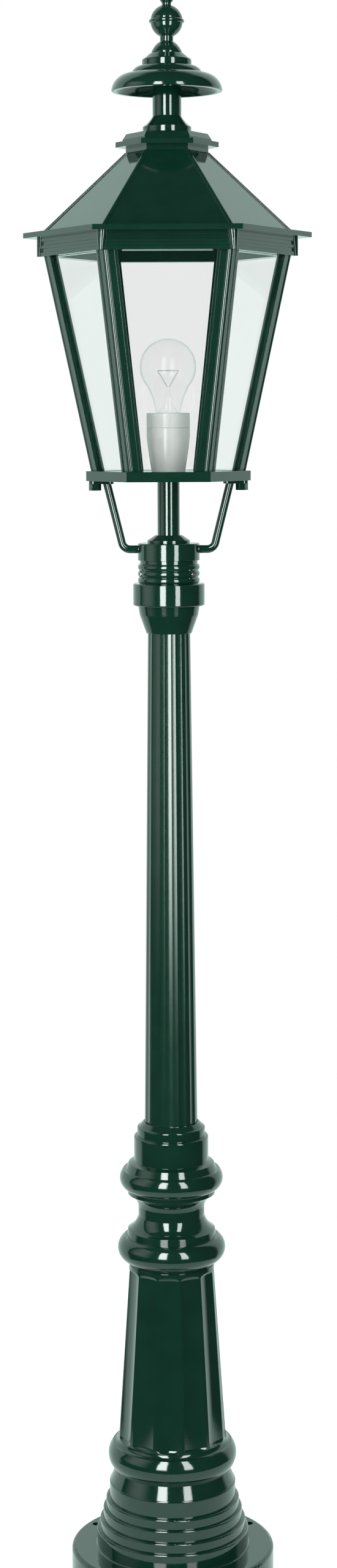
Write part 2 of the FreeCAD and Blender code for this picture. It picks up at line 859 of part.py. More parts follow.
def build_grub_screws():
    """Three socket-head grub screws that press on the shaft inside the neck."""
    inner_end = shaft_radius_at(size("shaft_length") - "socket_depth" + grub_level) + "slip_fit"
    outer_end = neck_radius - "neck_bead_inset" + "neck_bead_bulge" + "grub_proud"
    length = outer_end - inner_end
    screws = []
    for number in range(GRUB_SCREWS):
        pin = cylinder(f"grub_pin_{number + 1}", "grub_radius", length)
        key = place(hex_prism(f"grub_key_{number + 1}", "grub_key_radius", "grub_key_depth"),
                    z=length - "grub_key_depth")
        screw = doc.addObject("Part::Cut", f"grub_screw_{number + 1}")
        screw.Base = pin
        screw.Tool = key
        angle = size("grub_turn") + 360.0 / GRUB_SCREWS * number + 90
        lay_down = Rotation(Vector(0, 1, 0), 90)
        facing = Rotation(Vector(0, 0, 1), angle.value)
        screw.Placement = Placement(Vector(0, 0, 0), facing.multiply(lay_down))
        screw.setExpression("Placement.Base.x", (inner_end * cosine(angle)).text)
        screw.setExpression("Placement.Base.y", (inner_end * sine(angle)).text)
        screw.setExpression("Placement.Base.z", (neck_level + grub_level).text)
        screws.append(screw)
    return group("neck_grub_screws", screws)


# Stem: wiring tube, its conical clamping nut and the lock nut above the lantern floor
def build_stem():
    inner = size("stem_radius") - "stem_wall"
    bore = size("stem_radius") + "slip_fit"
    length = neck_height - stem_seat + total("fork_height", "floor_thickness", "lock_nut_height")
    tube = new_body("stem_tube", neck_level + stem_seat)
    revolve(tube, "tube", [(inner, ZERO), ("stem_radius", ZERO), ("stem_radius", length), (inner, length)])
    nut = new_body("stem_collar", neck_top_level)
    rim_radius = size("stem_radius") + "stem_collar_out"
    waist = size("stem_radius") + "stem_wall"
    nut_outline = [
        (bore, ZERO),
        (rim_radius, ZERO),
        (rim_radius, "stem_collar_rim"),
        (waist, "stem_collar_height"),
        (bore, "stem_collar_height"),
    ]
    revolve(nut, "turning", nut_outline)
    lock = new_body("stem_lock_nut", frame_level)
    pad(lock, "nut", hexagon(size("stem_radius") + "lock_nut_out"), "lock_nut_height")
    round_hole(lock, "thread", (ZERO, ZERO), bore, "lock_nut_height")
    return [tube, nut, lock]


# Fork arms: bent rods from the neck up to flat feet under the lantern floor
def build_arm(label, turn):
    body = new_body(label, arm_level, turn)
    rise = total("fork_height", "arm_drop") - size("foot_thickness") / 2
    start = neck_radius - "arm_bore_depth" + "slip_fit"
    bend = size("arm_bend_reach")
    top = foot_end - "foot_heel_reach"
    radius = size("arm_bend_radius")
    slope = math.atan2(rise.value, top.value - bend.value)
    setback = radius.value * math.tan(slope / 2)
    low_end = Vector(bend.value - setback, 0, 0)
    high_end = Vector(bend.value + setback * math.cos(slope), setback * math.sin(slope), 0)
    centre = Vector(low_end.x, radius.value, 0)
    path = new_sketch(body, "rod_path", "XZ_Plane")
    run = path.addGeometry(Part.LineSegment(Vector(start.value, 0, 0), low_end), False)
    circle = Part.Circle(centre, Vector(0, 0, 1), radius.value)
    arc = path.addGeometry(Part.ArcOfCircle(circle, -math.pi / 2, slope - math.pi / 2), False)
    leg = path.addGeometry(Part.LineSegment(high_end, Vector(top.value, rise.value, 0)), False)
    knee = path.addGeometry(Part.Point(Vector(bend.value, 0, 0)), True)
    pin_point(path, run, 1, start, ZERO)
    pin_point(path, leg, 2, top, rise)
    pin_point(path, knee, 1, bend, ZERO)
    path.addConstraint(Sketcher.Constraint("Horizontal", run))
    path.addConstraint(Sketcher.Constraint("Tangent", run, 2, arc, 1))
    path.addConstraint(Sketcher.Constraint("Tangent", arc, 2, leg, 1))
    path.addConstraint(Sketcher.Constraint("PointOnObject", knee, 1, leg))
    bind_radius(path, arc, radius)
    section = new_sketch(body, "rod_section", "YZ_Plane", start)
    draw_circle(section, ZERO, ZERO, "arm_radius")
    rod = body.newObject("PartDesign::AdditivePipe", f"{body.Name}_rod")
    rod.Profile = section
    rod.Spine = (path, ["Edge1", "Edge2", "Edge3"])
    half = size("foot_width") / 2
    heel = top - half
    foot_level = rise - size("foot_thickness") / 2
    outline = rounded_rectangle(heel, foot_end, half, size("foot_rounding"))
    pad(body, "foot", outline, "foot_thickness", foot_level)
    bolt_hole = size("bolt_radius") + "slip_fit"
    round_hole(body, "bolt_hole", (foot_bolt_reach, ZERO), bolt_hole, "foot_thickness", foot_level)
    return body


def build_fork_bolts():
    """Hexagon-head bolts through the fork's feet into the lantern floor."""
    head_level = floor_level - "foot_thickness" - "bolt_head_height"
    bolts = []
    for name, reach in (("right", foot_bolt_reach), ("left", -foot_bolt_reach)):
        head = hex_prism(f"bolt_head_{name}", "bolt_head_radius", "bolt_head_height")
        place(head, reach, head_level)
        length = total("bolt_head_height", "foot_thickness", "bolt_grip")
        shank = place(cylinder(f"bolt_shank_{name}", "bolt_radius", length), reach, head_level)
        bolt = doc.addObject("Part::Fuse", f"fork_bolt_{name}")
        bolt.Base = head
        bolt.Tool = shank
        bolts.append(bolt)
    return group("fork_bolts", bolts)


# Lantern floor with the stem's hole and the fork's threads
def build_floor():
    body = new_body("floor_plate", floor_level)
    pad(body, "plate", hexagon("floor_radius"), "floor_thickness")
    round_hole(body, "stem_hole", (ZERO, ZERO), size("stem_radius") + "slip_fit", "floor_thickness")
    thread = size("bolt_radius") + "slip_fit"
    hole = round_hole(body, "fork_thread", (foot_bolt_reach, ZERO), thread, size("bolt_grip") + "slip_fit")
    repeat(body, hole, 2)
    return body


# Glazing bars: a centre bead, two lipped wings over the panes and a web between the panes
def bar_section(corner_radius):
    def point(along_face, inward):
        x = corner_radius - size(along_face) / 2 - size(inward) * COS30
        y = size(along_face) * COS30 - size(inward) / 2
        return (x, y)

    wing = size("bar_wing_width")
    lip_start = wing - "bar_lip_width"
    half_web = size("bar_web") / 2
    web_joint = (half_web + size("bar_wing_thickness") / 2) / COS30
    web_end = corner_radius - "bar_web_depth"
    upper = [
        point("bar_bead_width", ZERO),
        point(lip_start, ZERO),
        point(lip_start, -size("bar_lip_height")),
        point(wing, -size("bar_lip_height")),
        point(wing, "bar_wing_thickness"),
        (point(web_joint, "bar_wing_thickness")[0], half_web),
        (web_end, half_web),
    ]
    lower = [(x, -y) for x, y in reversed(upper)]
    return [upper[0] + (size("bar_bead_bulge"),)] + upper[1:] + lower


def build_bar(label, turn):
    body = new_body(label, frame_level, turn)
    foot = bar_section(frame_foot_radius)
    head = bar_section(frame_top_radius)
    loft(body, "bar", "AdditiveLoft", [(foot, ZERO), (head, "frame_height")])
    return body


# Panes: flat tapered sheets held behind the wings of the bars
def pane_section(corner_radius):
    inward = size("bar_wing_thickness") + "pane_fit"
    outer = corner_radius * COS30 - inward
    inner = outer - "pane_thickness"
    edge = (size("bar_web") / 2 + "pane_fit" + (inward + "pane_thickness") / 2) / COS30
    half = corner_radius / 2 - edge
    return [(inner, -half), (outer, -half), (outer, half), (inner, half)]


def build_pane(label, turn):
    body = new_body(label, frame_level, turn)
    foot = pane_section(frame_foot_radius)
    head = pane_section(frame_top_radius)
    loft(body, "pane", "AdditiveLoft", [(foot, ZERO), (head, "frame_height")])
    return body


# Eave ring: a moulded hexagonal frame with a corbel at each corner
def build_eave_ring():
    body = new_body("eave_ring", eave_level)
    lip = size("eave_lip_height")
    ridge = size("eave_ridge_height")
    groove = (size("eave_height") - lip * 2 - ridge) / 2
    groove_base = size("eave_radius") - "eave_groove_depth"
    level = ZERO
    mouldings = [("eave_radius", lip), (groove_base, groove), ("eave_radius", ridge), (groove_base, groove),
                 ("eave_radius", lip)]
    for number, (radius, height) in enumerate(mouldings, start=1):
        pad(body, f"moulding_{number}", hexagon(radius), height, level)
        level = level + height
    corbel_front = size("eave_radius") + "corbel_out"
    corbel_back = size("eave_radius") - "corbel_depth"

    def corbel_section(width):
        half = size(width) / 2
        nose = half * CORBEL_NOSE
        return [(corbel_back, -half), (corbel_front - nose, -half), (corbel_front - nose, half, nose),
                (corbel_back, half)]

    corbel_foot = (corbel_section("corbel_bottom_width"), ZERO)
    corbel_head = (corbel_section("corbel_top_width"), "eave_height")
    corbel = loft(body, "corbel", "AdditiveLoft", [corbel_foot, corbel_head])
    repeat(body, corbel, SIDES)
    inside = new_sketch(body, "inside_outline", "XY_Plane")
    draw(inside, hexagon(size("eave_radius") - "eave_width"))
    body.Tip = pocket(body, "inside", inside, "eave_height", reverse=True)
    return body


# Roof hood: eave plate and hollow hexagonal roof with a bead down each hip
def build_roof():
    body = new_body("roof_hood", roof_level)
    plate = size("eave_plate_thickness")
    top = plate + "roof_height"
    pad(body, "plate", hexagon(size("eave_radius") + "eave_plate_overhang"), plate)
    loft(body, "slopes", "AdditiveLoft", [(hexagon(roof_radius), plate), (hexagon("roof_top_radius"), top)])

    def bead_section(radius):
        half = size("hip_bead_width") / 2
        return [(size(radius) - half, -half), (size(radius), -half), (size(radius), half, "hip_bead_bulge"),
                (size(radius) - half, half)]

    bead = loft(body, "hip_bead", "AdditiveLoft",
                [(bead_section(roof_radius), plate), (bead_section("roof_top_radius"), top)])
    repeat(body, bead, SIDES)
    slope_run = (roof_radius - "roof_top_radius") / "roof_height"
    inner_top = top - "roof_wall"
    inner_radius = roof_radius - size("roof_wall") * 2 + slope_run * plate
    inside_foot = (hexagon(inner_radius), ZERO)
    inside_top = (hexagon(inner_radius - slope_run * inner_top), inner_top)
    body.Tip = loft(body, "inside", "SubtractiveLoft", [inside_foot, inside_top])
    round_hole(body, "rod_hole", (ZERO, ZERO), rod_hole_radius, "roof_wall", inner_top)
    return body


# Crown: stepped hexagonal casting between roof and chimney
def build_crown():
    body = new_body("crown_collar", crown_level)
    plate_level = size("crown_foot_height")
    step_level = plate_level + "crown_plate_thickness"
    slope_level = step_level + "crown_step_height"
    plate_radius = size("roof_top_radius") + "crown_plate_out"
    step_radius = size("roof_top_radius") + "crown_step_out"
    slope_radius = step_radius - "crown_slope_inset"
    pad(body, "foot", hexagon(size("roof_top_radius") + "crown_foot_out"), "crown_foot_height")
    pad(body, "plate", hexagon(plate_radius), "crown_plate_thickness", plate_level)
    pad(body, "step", hexagon(step_radius), "crown_step_height", step_level)
    loft(body, "slope", "AdditiveLoft",
         [(hexagon(step_radius), slope_level), (hexagon(slope_radius), crown_height)])
    round_hole(body, "rod_hole", (ZERO, ZERO), rod_hole_radius, crown_height)
    return body


# Chimney: tube on a round foot
def build_chimney():
    body = new_body("chimney", chimney_level)
    bore = size("chimney_radius") - "chimney_wall"
    bell_top = total("chimney_foot_height", "chimney_bell_height")
    outline = [
        (bore, ZERO),
        ("chimney_foot_radius", ZERO),
        ("chimney_foot_radius", "chimney_foot_height"),
        ("chimney_radius", bell_top, -size("chimney_bell_hollow")),
        ("chimney_radius", chimney_height),
        (bore, chimney_height),
    ]
    revolve(body, "turning", outline)
    return body


# Chimney cap: mushroom with a hollow underside, a shelf and a ring for the finial
def build_cap():
    body = new_body("chimney_cap", cap_level)
    rim = size("cap_rim_height")
    rim_in = size("cap_radius") - "cap_wall"
    dome_top = rim + "cap_dome_height"
    dome_radius = size("cap_radius") - "cap_dome_inset"
    shelf_top = dome_top + "cap_shelf_height"
    lip_top = shelf_top + "cap_lip_height"
    ring_top = lip_top + "cap_ring_height"
    rounding = size("step_rounding")
    ceiling_radius = dome_radius - "cap_wall"
    outline = [
        (rod_hole_radius, "cap_hollow_depth"),
        (ceiling_radius, "cap_hollow_depth"),
        (rim_in, ZERO, -rounding),
        (size("cap_radius") - rim, ZERO),
        ("cap_radius", rim, corner(rim)),
        (dome_radius, dome_top, "cap_dome_bulge"),
        ("cap_shelf_radius", shelf_top),
        (size("cap_ring_radius") + rounding, lip_top, "cap_lip_bulge"),
        ("cap_ring_radius", lip_top),
        ("cap_ring_radius", ring_top - rounding),
        (size("cap_ring_radius") - rounding, ring_top, corner(rounding)),
        (size("finial_foot_radius") + rounding, cap_height),
        (rod_hole_radius, cap_height),
    ]
    revolve(body, "turning", outline)
    return body


# Finial: bell, beaded ball and tip, threaded on the tie rod
def build_finial():
    body = new_body("finial", finial_level)
    ball = size("finial_ball_radius")
    neck = size("finial_neck_radius")
    tip_neck = size("finial_tip_neck_radius")
    tip = size("finial_tip_radius")
    half_bead = size("finial_bead_height") / 2
    bell_top = total("finial_foot_height", "finial_bell_height")
    neck_top = bell_top + "finial_neck_height"
    ball_level = neck_top + (ball * ball - neck * neck).root()
    bead_radius = (ball * ball - half_bead * half_bead).root()
    ball_top = ball_level + (ball * ball - tip_neck * tip_neck).root()
    tip_foot = ball_top + "finial_tip_neck_height"
    tip_level = tip_foot + (tip * tip - tip_neck * tip_neck).root()
    thread_end = size("rod_thread_reach") + "slip_fit"
    low_ball = ((neck, neck_top), (bead_radius, ball_level - half_bead))
    high_ball = ((bead_radius, ball_level + half_bead), (tip_neck, ball_top))
    low_tip = ((tip_neck, tip_foot), (tip, tip_level))
    high_tip = ((tip, tip_level), (ZERO, tip_level + tip))
    outline = [
        (rod_hole_radius, ZERO),
        ("finial_foot_radius", ZERO),
        ("finial_foot_radius", "finial_foot_height"),
        (neck, bell_top, "finial_bell_bulge"),
        low_ball[0],
        low_ball[1] + (arc_bulge(*low_ball, ball),),
        high_ball[0] + (size("finial_bead_bulge"),),
        high_ball[1] + (arc_bulge(*high_ball, ball),),
        low_tip[0],
        low_tip[1] + (arc_bulge(*low_tip, tip),),
        high_tip[1] + (arc_bulge(*high_tip, tip),),
        (ZERO, thread_end),
        (rod_hole_radius, thread_end),
    ]
    revolve(body, "turning", outline)
    return body


# Tie rod and nut that hold the crown, chimney, cap and finial down on the roof
def build_tie_rod():
    nut_level = crown_level - "roof_wall" - "rod_nut_height"
    tail_level = nut_level - "rod_tail"
    rod = new_body("finial_rod", tail_level)
    length = finial_level + "rod_thread_reach" - tail_level
    revolve(rod, "rod", [(ZERO, ZERO), ("rod_radius", ZERO), ("rod_radius", length), (ZERO, length)])
    nut = new_body("finial_nut", nut_level)
    pad(nut, "nut", hexagon("rod_nut_radius"), "rod_nut_height")
    round_hole(nut, "thread", (ZERO, ZERO), rod_hole_radius, "rod_nut_height")
    return [rod, nut]


# Porcelain lamp holder in two pieces
cup_radius = size("bulb_cap_radius") + "slip_fit"


def build_holder():
    body = new_body("lamp_holder", frame_level)
    foot_hollow = size("stem_radius") + "lock_nut_out" + "slip_fit"
    outline = [
        (foot_hollow, ZERO),
        ("holder_foot_radius", ZERO),
        ("holder_radius", "holder_taper_height", corner("holder_ring_rounding")),
        ("holder_radius", "holder_height"),
        (cup_radius, "holder_height"),
        (cup_radius, "holder_cup_floor"),
        ("holder_wire_radius", "holder_cup_floor"),
        ("holder_wire_radius", "holder_foot_hollow"),
        (foot_hollow, "holder_foot_hollow"),
    ]
    revolve(body, "turning", outline)
    ring = new_body("lamp_holder_ring", frame_level + "holder_height")
    rounding = size("holder_ring_rounding")
    ring_outline = [
        (cup_radius, ZERO),
        (size("holder_radius") - rounding, ZERO),
        ("holder_radius", rounding, corner(rounding)),
        ("holder_radius", size("holder_ring_height") - rounding),
        (size("holder_radius") - rounding, "holder_ring_height", corner(rounding)),
        (cup_radius, "holder_ring_height"),
    ]
    revolve(ring, "turning", ring_outline)
    return [body, ring]


# Clear bulb: screw cap, blown glass, glass stem and filament wire
def build_bulb():
    cap_base = frame_level + "holder_cup_floor"
    glass_level = cap_base + "bulb_cap_height"
    cap = new_body("bulb_cap", cap_base)
    shoulder = total("bulb_contact_height", "bulb_insulator_height")
    cap_outline = [
        (ZERO, ZERO),
        ("bulb_contact_radius", ZERO),
        ("bulb_contact_radius", "bulb_contact_height"),
        ("bulb_cap_radius", shoulder),
        ("bulb_cap_radius", "bulb_cap_height"),
        (ZERO, "bulb_cap_height"),
    ]
    revolve(cap, "turning", cap_outline)
    glass = new_body("bulb_glass", glass_level)
    wall = size("bulb_wall")
    radius = size("bulb_radius")
    inner = radius - wall
    centre = size("bulb_height") - radius
    drop = centre - "bulb_neck_height"
    neck_radius_out = (radius * radius - drop * drop).root()
    neck_radius_in = (inner * inner - drop * drop).root()
    outer_arc = ((neck_radius_out, size("bulb_neck_height")), (ZERO, size("bulb_height")))
    inner_arc = ((neck_radius_in, size("bulb_neck_height")), (ZERO, size("bulb_height") - wall))
    glass_outline = [
        (size("bulb_cap_radius") - wall, ZERO),
        ("bulb_cap_radius", ZERO),
        outer_arc[0] + (-size("bulb_neck_hollow"),),
        outer_arc[1] + (arc_bulge(*outer_arc, radius),),
        inner_arc[1],
        inner_arc[0] + (-arc_bulge(*inner_arc, inner),),
        (size("bulb_cap_radius") - wall, ZERO, size("bulb_neck_hollow")),
    ]
    revolve(glass, "turning", [glass_outline[-1]] + glass_outline[1:-1])
    stem = new_body("bulb_stem", glass_level)
    stem_radius = size("bulb_stem_radius")
    stem_outline = [
        (ZERO, ZERO),
        (size("bulb_cap_radius") - wall * 2, ZERO),
        (stem_radius, stem_radius * 2),
        (stem_radius / 2, "bulb_stem_height"),
        (ZERO, "bulb_stem_height"),
    ]
    revolve(stem, "turning", stem_outline)
    return [cap, glass, stem, build_filament(glass_level + "bulb_stem_height")]


def build_filament(level):
    """Filament wire between two leads that lean out from the top of the glass stem."""
    half_foot = size("bulb_stem_radius") / 4
    half_span = size("filament_span") / 2
    rise = size("filament_height")
    run = half_span - half_foot
    length = (run * run + rise * rise).root()
    lean = math.degrees(math.atan2(run.value, rise.value))
    slant = f"atan2({run.text}; {rise.text})"
    foot_level = level + "filament_radius"
    wires = []
    for name, foot, side in (("left", -half_foot, -1), ("right", half_foot, 1)):
        lead = place(cylinder(f"filament_lead_{name}", "filament_radius", length), foot, foot_level)
        lead.Placement.Rotation = Rotation(Vector(0, side, 0), lean)
        lead.setExpression("Placement.Rotation.Angle", slant)
        wires.append(lead)
    coil = cylinder("filament_coil", "filament_radius", "filament_span")
    place(coil, -half_span, foot_level + rise)
    coil.Placement.Rotation = Rotation(Vector(0, 1, 0), 90)
    wires.append(coil)
    filament = doc.addObject("Part::MultiFuse", "bulb_filament")
    filament.Label = "bulb_filament"
    filament.Shapes = wires
    return filament


BAR_NAMES = ["right", "rear_right", "rear_left", "left", "front_left", "front_right"]
PANE_NAMES = ["rear_right", "rear", "rear_left", "front_left", "front", "front_right"]


def build_all():
    """Build every piece, from the ground up."""
    parts = [build_base(), build_collar(), build_shaft(), build_neck(), build_grub_screws()]
    parts += build_stem()
    parts += [build_arm("fork_arm_right", 0), build_arm("fork_arm_left", 180)]
    parts += [build_fork_bolts(), build_floor()]
    turn = 360 / SIDES
    parts += [build_bar(f"corner_bar_{name}", turn * number) for number, name in enumerate(BAR_NAMES)]
    parts += [build_pane(f"glass_{name}", turn * (number + 0.5)) for number, name in enumerate(PANE_NAMES)]
    parts += [build_eave_ring(), build_roof(), build_crown(), build_chimney(), build_cap(), build_finial()]
    parts += build_tie_rod()
    parts += build_holder()
    parts += build_bulb()
    return parts


def check_document():
    """Stop if any object of the document failed."""
    for item in doc.Objects:
        if "Invalid" in item.State or "Error" in item.State:
            raise RuntimeError(f"{item.Name} failed: {item.State}")


def write_parts(parts):
    """Write one file for each piece."""
    os.makedirs("parts", exist_ok=True)
    for part in parts:
        if part.Shape.isNull() or not part.Shape.isValid():
            raise RuntimeError(f"{part.Label} has no valid shape")
    for part in parts:
        part.Shape.exportStep(f"parts/{part.Label}.step")


pieces = build_all()
doc.recompute()
check_document()
write_parts(pieces)
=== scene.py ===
import json
import math

import bpy
from mathutils import Matrix, Vector

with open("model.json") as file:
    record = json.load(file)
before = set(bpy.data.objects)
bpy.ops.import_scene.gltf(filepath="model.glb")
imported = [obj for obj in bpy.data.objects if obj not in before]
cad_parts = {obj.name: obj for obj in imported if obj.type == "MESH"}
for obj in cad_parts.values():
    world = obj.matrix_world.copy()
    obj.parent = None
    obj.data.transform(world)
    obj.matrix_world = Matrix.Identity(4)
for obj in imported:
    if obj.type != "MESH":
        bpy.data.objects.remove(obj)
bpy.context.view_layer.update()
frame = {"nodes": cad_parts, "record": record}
nodes = frame["nodes"]

# Lengths are in metres, unless a name says otherwise.

# Camera of the photograph: in front of the post, level with the lamp holder, slightly pitched and rolled.
IMAGE_HEIGHT_PIXELS = 2560
FOCAL_PIXELS = 4397.6
SENSOR_MM = 36.0
CAMERA_DISTANCE = 2.9
CAMERA_HEIGHT = 1.2995
CAMERA_SIDE = -0.0013
CAMERA_PITCH = math.radians(7.64)
CAMERA_ROLL = math.radians(0.24)
CLIP_START = 0.05
CLIP_END = 100.0

# Soft boxes around the front of the post. The azimuth is counted in degrees from the camera's side, with
# left negative. The radiance lights the post, and the gloss is the brightness that its paint mirrors. The
# mirrored box dims to its sides, over the share of its half width that fade gives, and to its foot.
BOX_DISTANCE = 2.06
BOX_FOOT = 0.22
BOX_FOOT_FADE = 0.5
BOX_TOP = 3.0
BOX_TINT = (0.92, 1.0, 0.97)
BOXES = [
    {"name": "soft_box_left", "azimuth": -19.0, "width": 0.75, "radiance": 5.0, "gloss": 12.0, "fade": 0.3},
    {"name": "soft_box_right", "azimuth": 28.5, "width": 0.62, "radiance": 3.5, "gloss": 8.5, "fade": 0.3},
    {"name": "side_panel", "azimuth": -72.0, "width": 2.6, "radiance": 0.5, "gloss": 0.75, "fade": 0.9},
]

# Floor sheet, which ends a little way in front of the post. The lift brings the lit paper up to white for
# the camera. Past the reach of the post's shadow, a range over which it fades, the camera sees plain white.
FLOOR_FRONT = -0.65
FLOOR_BACK = 12.0
FLOOR_HALF_WIDTH = 10.0
FLOOR_LIFT = 0.8
SHADOW_REACH = (0.9, 1.6)

# What paint and metal mirror: a dim room, a backdrop behind the post and lit floor close to it. Each edge
# is a range over which the backdrop's colour comes in: by how far a direction agrees with the backdrop's
# heading, by the distance from the post on the floor, and by the upward part of a direction.
ROOM = (0.035, 0.040, 0.038)
BACKDROP = (0.61, 0.80, 0.74)
BACKDROP_HEADING = (-0.10, 0.995, 0.0)
BACKDROP_EDGE = (0.22, 0.44)
LIT_FLOOR_EDGE = (0.74, 0.62)
CEILING_EDGE = (0.95, 0.80)

# Values that shaders share. Ray depths are whole numbers, so a ray under half a bounce has had none.
WHITE = (1.0, 1.0, 1.0, 1.0)
TONE_STOPS = (0.3, 0.7)
HALF_A_BOUNCE = 0.5


# Node helpers
def new_material(name):
    """A new node material, its tree and its Principled shader."""
    material = bpy.data.materials.new(name)
    material.use_nodes = True
    tree = material.node_tree
    return material, tree, tree.nodes["Principled BSDF"]


def add(tree, kind, **values):
    """A shader node with the given settings and socket values."""
    node = tree.nodes.new(kind)
    for key, value in values.items():
        if key in node.inputs:
            node.inputs[key].default_value = value
        else:
            setattr(node, key, value)
    return node


def set_inputs(node, values):
    """Set sockets of a node by their names."""
    for socket, value in values.items():
        node.inputs[socket].default_value = value


def link(tree, source, output, target, socket):
    """Join an output of one node to a socket of another."""
    tree.links.new(source.outputs[output], target.inputs[socket])


def show(tree, shader):
    """Make a shader the material's surface."""
    link(tree, shader, 0, tree.nodes["Material Output"], "Surface")


def noise(tree, scale, detail=2.0, roughness=0.5):
    """Noise in the object's own space, so that it has a real size: scale is in repeats a metre."""
    place = add(tree, "ShaderNodeTexCoord")
    texture = add(tree, "ShaderNodeTexNoise", Scale=scale, Detail=detail, Roughness=roughness)
    link(tree, place, "Object", texture, "Vector")
    return texture


def vary_colour(tree, shader, low, high, **grain):
    """Let the base colour wander between two tones, in the grain that noise is given."""
    ramp = add(tree, "ShaderNodeValToRGB")
    for element, position, colour in zip(ramp.color_ramp.elements, TONE_STOPS, (low, high)):
        element.position = position
        element.color = (*colour, 1.0)
    link(tree, noise(tree, **grain), "Fac", ramp, "Fac")
    link(tree, ramp, "Color", shader, "Base Color")


def vary_roughness(tree, shader, low, high, **grain):
    """Let the roughness wander between two values, in the grain that noise is given."""
    node = add(tree, "ShaderNodeMapRange")
    set_inputs(node, {"To Min": low, "To Max": high})
    link(tree, noise(tree, **grain), "Fac", node, "Value")
    link(tree, node, "Result", shader, "Roughness")


def soft_step(tree, source, output, start, end, top=1.0):
    """A smooth rise from 0 at start to top at end."""
    node = add(tree, "ShaderNodeMapRange", interpolation_type="SMOOTHSTEP")
    set_inputs(node, {"From Min": start, "From Max": end, "To Max": top})
    link(tree, source, output, node, "Value")
    return node


def combine(tree, operation, first, second):
    """Two numbers, as (node, output) pairs, put together."""
    node = add(tree, "ShaderNodeMath", operation=operation)
    link(tree, *first, node, 0)
    link(tree, *second, node, 1)
    return node


def combine_with(tree, operation, first, number):
    """A (node, output) pair put together with a plain number."""
    node = add(tree, "ShaderNodeMath", operation=operation)
    node.inputs[1].default_value = number
    link(tree, *first, node, 0)
    return node


def mix_shaders(tree, factor, first, second):
    """The first shader where the factor, a (node, output) pair, is 0, and the second where it is 1."""
    node = add(tree, "ShaderNodeMixShader")
    link(tree, *factor, node, 0)
    link(tree, first, 0, node, 1)
    link(tree, second, 0, node, 2)
    return node


# Materials of the post
def green_paint(name, smoothest, roughest, coat_roughness):
    """Glossy dark green enamel: orange peel, softened edges and slightly uneven colour."""
    material, tree, shader = new_material(name)
    dark = (0.0042, 0.0350, 0.0212)
    light = (0.0062, 0.0440, 0.0275)
    vary_colour(tree, shader, low=dark, high=light, scale=38.0, detail=4.0, roughness=0.6)
    vary_roughness(tree, shader, low=smoothest, high=roughest, scale=160.0, detail=3.0)
    set_inputs(shader, {"Specular IOR Level": 0.5, "Coat Weight": 0.8, "Coat Roughness": coat_roughness})
    edge = add(tree, "ShaderNodeBevel", samples=4, Radius=0.0006)
    peel = add(tree, "ShaderNodeBump", Strength=0.05, Distance=0.0004)
    link(tree, noise(tree, scale=700.0), "Fac", peel, "Height")
    link(tree, edge, "Normal", peel, "Normal")
    link(tree, peel, "Normal", shader, "Normal")
    link(tree, peel, "Normal", shader, "Coat Normal")
    return material


def steel():
    """Stainless steel with a fine grain."""
    material, tree, shader = new_material("stainless_steel")
    vary_colour(tree, shader, low=(0.55, 0.55, 0.53), high=(0.72, 0.72, 0.70), scale=900.0, detail=3.0)
    vary_roughness(tree, shader, low=0.16, high=0.32, scale=2400.0)
    set_inputs(shader, {"Metallic": 1.0})
    return material


def porcelain():
    """White glazed porcelain with a faint cloudiness under the glaze."""
    material, tree, shader = new_material("white_porcelain")
    vary_colour(tree, shader, low=(0.86, 0.87, 0.85), high=(0.91, 0.92, 0.90), scale=120.0, detail=3.0)
    vary_roughness(tree, shader, low=0.16, high=0.26, scale=300.0)
    set_inputs(shader, {"Coat Weight": 0.4, "Coat Roughness": 0.05})
    return material


def clear_glass(name, low, high, ior, coat, alpha):
    """Clear glass with a faint tint and a slight waviness; light passes it without a hard shadow."""
    material, tree, shader = new_material(name)
    vary_colour(tree, shader, low=low, high=high, scale=14.0)
    set_inputs(shader, {"Roughness": 0.0, "IOR": ior, "Transmission Weight": 1.0, "Alpha": alpha})
    set_inputs(shader, {"Coat Weight": coat, "Coat Roughness": 0.02})
    ripple = add(tree, "ShaderNodeBump", Strength=0.004, Distance=0.0005)
    link(tree, noise(tree, scale=9.0, detail=1.0), "Fac", ripple, "Height")
    link(tree, ripple, "Normal", shader, "Normal")
    path = add(tree, "ShaderNodeLightPath")
    faint_shadow = add(tree, "ShaderNodeBsdfTransparent", Color=(0.93, 0.96, 0.95, 1.0))
    show(tree, mix_shaders(tree, (path, "Is Shadow Ray"), shader, faint_shadow))
    return material


def cap_metal():
    """Dull pressed metal of the bulb's screw cap."""
    material, tree, shader = new_material("bulb_cap_metal")
    vary_colour(tree, shader, low=(0.60, 0.57, 0.50), high=(0.74, 0.71, 0.64), scale=500.0, detail=3.0)
    vary_roughness(tree, shader, low=0.28, high=0.42, scale=800.0)
    set_inputs(shader, {"Metallic": 1.0})
    return material


def wire():
    """Pale grey drawn wire."""
    material, tree, shader = new_material("filament_wire")
    vary_colour(tree, shader, low=(0.74, 0.74, 0.73), high=(0.86, 0.85, 0.84), scale=4000.0)
    set_inputs(shader, {"Metallic": 0.4, "Roughness": 0.5})
    return material


def dress(by_slot, by_node):
    """Give every node of the frame its own material, where it has one, or that of its slot."""
    for subpart in frame["record"]["subparts"]:
        node = subpart["node"]
        coats = nodes[node].data.materials
        coats.clear()
        coats.append(by_node.get(node, by_slot[subpart["material_slot"]]))


# Studio
def looked_at(tree, path):
    """1 for rays straight from the camera, also through glass, and 0 once they have been reflected."""
    bounces = combine(tree, "ADD", (path, "Glossy Depth"), (path, "Diffuse Depth"))
    straight = combine_with(tree, "LESS_THAN", (bounces, 0), HALF_A_BOUNCE)
    through_glass = combine(tree, "MULTIPLY", (path, "Is Transmission Ray"), (straight, 0))
    return combine(tree, "MAXIMUM", (path, "Is Camera Ray"), (through_glass, 0))


